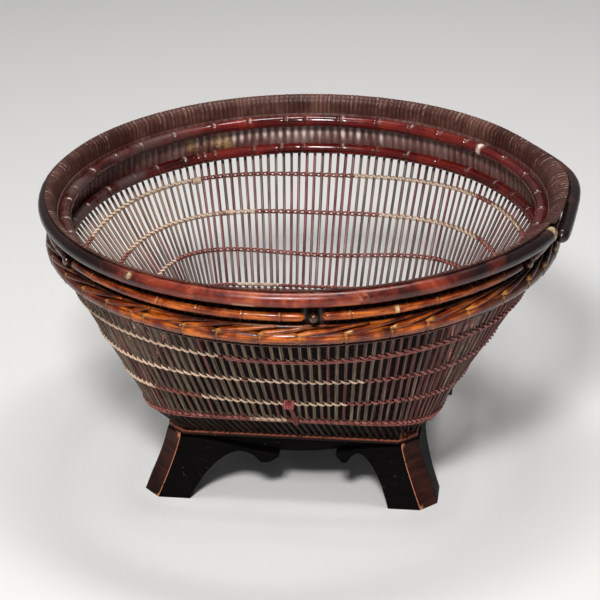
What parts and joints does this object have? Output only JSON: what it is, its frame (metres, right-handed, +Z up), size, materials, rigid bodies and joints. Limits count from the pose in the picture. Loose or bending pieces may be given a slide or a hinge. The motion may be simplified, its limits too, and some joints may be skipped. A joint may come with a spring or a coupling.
{
  "type": "footed bamboo basket",
  "caption": "Openwork bamboo basket, round at the hooped rim and square at the foot, on a low wooden stand with splayed bracket feet.",
  "frame": {"origin": "on the floor under the middle of the square stand", "axes": "+Z up; the side with the red lashing faces -Y; the ends of the rim hoop meet at +X"},
  "size_m": [0.3052, 0.3004, 0.1627],
  "materials": {
    "dark_cane": "glossy dark red-brown lacquer on cane, worn at the crest",
    "red_lacquer": "glossy red lacquer on bamboo",
    "amber_bamboo": "clear amber lacquer on bamboo",
    "brown_stake": "thin aged lacquer on split bamboo, semi-matt",
    "tan_twine": "aged split cane, semi-matt",
    "black_lacquer": "black-brown lacquer on wood, semi-gloss",
    "brown_lacquer": "brown-red lacquer on wood, rubbed at the edges"
  },
  "bodies": {
    "root": {"apron_back": "black_lacquer", "apron_front": "black_lacquer", "apron_left": "black_lacquer", "apron_right": "black_lacquer", "floor_mat": "brown_stake", "foot_back_left": "brown_lacquer", "foot_back_right": "brown_lacquer", "foot_front_left": "brown_lacquer", "foot_front_right": "brown_lacquer", "inner_hoop_high": "red_lacquer", "inner_hoop_low": "red_lacquer", "rim_collar": "red_lacquer", "rim_hoop": "dark_cane", "rim_lining": "red_lacquer", "rim_peg_1": "amber_bamboo", "rim_peg_2": "amber_bamboo", "rim_peg_3": "amber_bamboo", "rim_peg_4": "amber_bamboo", "rim_peg_5": "amber_bamboo", "rim_peg_6": "amber_bamboo", "root_band": "amber_bamboo", "small_hoop_1": "amber_bamboo", "small_hoop_2": "amber_bamboo", "small_hoop_3": "amber_bamboo", "small_hoop_4": "amber_bamboo", "small_hoop_5": "amber_bamboo", "small_hoop_6": "amber_bamboo", "stakes_back": "brown_stake", "stakes_corner_back_left": "brown_stake", "stakes_corner_back_right": "brown_stake", "stakes_corner_front_left": "brown_stake", "stakes_corner_front_right": "brown_stake", "stakes_front": "brown_stake", "stakes_left": "brown_stake", "stakes_right": "brown_stake", "stand_rail_back": "red_lacquer", "stand_rail_front": "red_lacquer", "stand_rail_left": "red_lacquer", "stand_rail_right": "red_lacquer", "twine_row_1_inner": "tan_twine", "twine_row_1_outer": "tan_twine", "twine_row_2_inner": "tan_twine", "twine_row_2_outer": "tan_twine", "twine_row_3_inner": "tan_twine", "twine_row_3_outer": "tan_twine", "twine_row_4_inner": "tan_twine", "twine_row_4_outer": "tan_twine", "wall_tie": "red_lacquer", "wing_left_back": "black_lacquer", "wing_left_front": "black_lacquer", "wing_left_left": "black_lacquer", "wing_left_right": "black_lacquer", "wing_right_back": "black_lacquer", "wing_right_front": "black_lacquer", "wing_right_left": "black_lacquer", "wing_right_right": "black_lacquer"}
  },
  "joints": []
}
